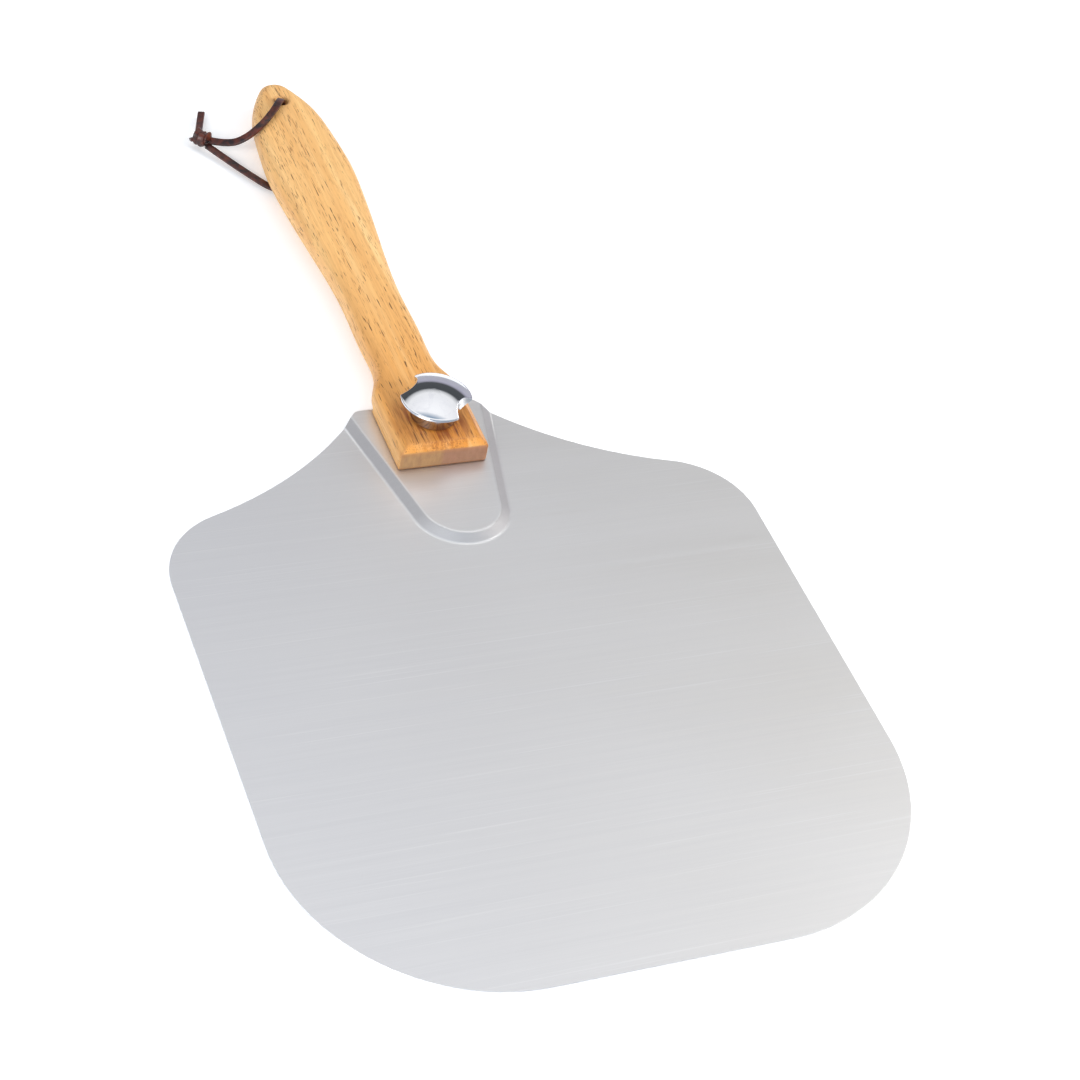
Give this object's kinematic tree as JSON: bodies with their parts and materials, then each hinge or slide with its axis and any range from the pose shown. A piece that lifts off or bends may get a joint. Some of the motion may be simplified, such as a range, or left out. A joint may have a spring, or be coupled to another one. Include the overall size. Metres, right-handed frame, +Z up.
{
  "type": "folding pizza peel",
  "caption": "Flat metal pizza peel whose wooden handle folds over the blade about a pivot clamped by a screw knob, with a hanging strap.",
  "frame": {"origin": "on the surface the peel rests on, under the middle of its length and width (the strap not counted)", "axes": "+Z up out of the blade's working face, +Y from the blade's front edge towards the handle's tip"},
  "size_m": [0.3048, 0.624, 0.036],
  "materials": {
    "blade_metal": "satin, faint brushing",
    "handle_wood": "oiled pale hardwood, fine dark pores",
    "plated_steel": "zinc plated",
    "nylon": "natural nylon",
    "brass": "turned",
    "knob_chrome": "polished",
    "strap_leather": "dark waxed lace"
  },
  "bodies": {
    "blade": {"blade": "blade_metal", "pivot_bolt": "plated_steel"},
    "handle": {"handle": "handle_wood", "pivot_sleeve": "brass", "friction_washer": "nylon", "strap_upper": "strap_leather", "strap_lower": "strap_leather", "strap_knot": "strap_leather", "strap_tail": "strap_leather"},
    "knob_carrier": {"knob_washer": "plated_steel"},
    "knob": {"knob": "knob_chrome", "knob_insert": "brass"}
  },
  "joints": [
    {"name": "handle_fold", "type": "hinge", "parent": "blade", "child": "handle", "pos_m": [0, 0.019, 0.011], "axis": [0, 0, 1], "range_deg": [-180, 180]},
    {"name": "knob_lift", "type": "slide", "parent": "blade", "child": "knob_carrier", "axis": [0, 0, 1], "range_m": [0, 0.0021]},
    {"name": "knob_turn", "type": "hinge", "parent": "knob_carrier", "child": "knob", "pos_m": [0, 0.019, 0.03], "axis": [0, 0, 1], "range_deg": [0, 720]}
  ],
  "couplings": [
    {"joint": "knob_lift", "follows": "knob_turn", "m_per_rad": 0.00015915}
  ]
}
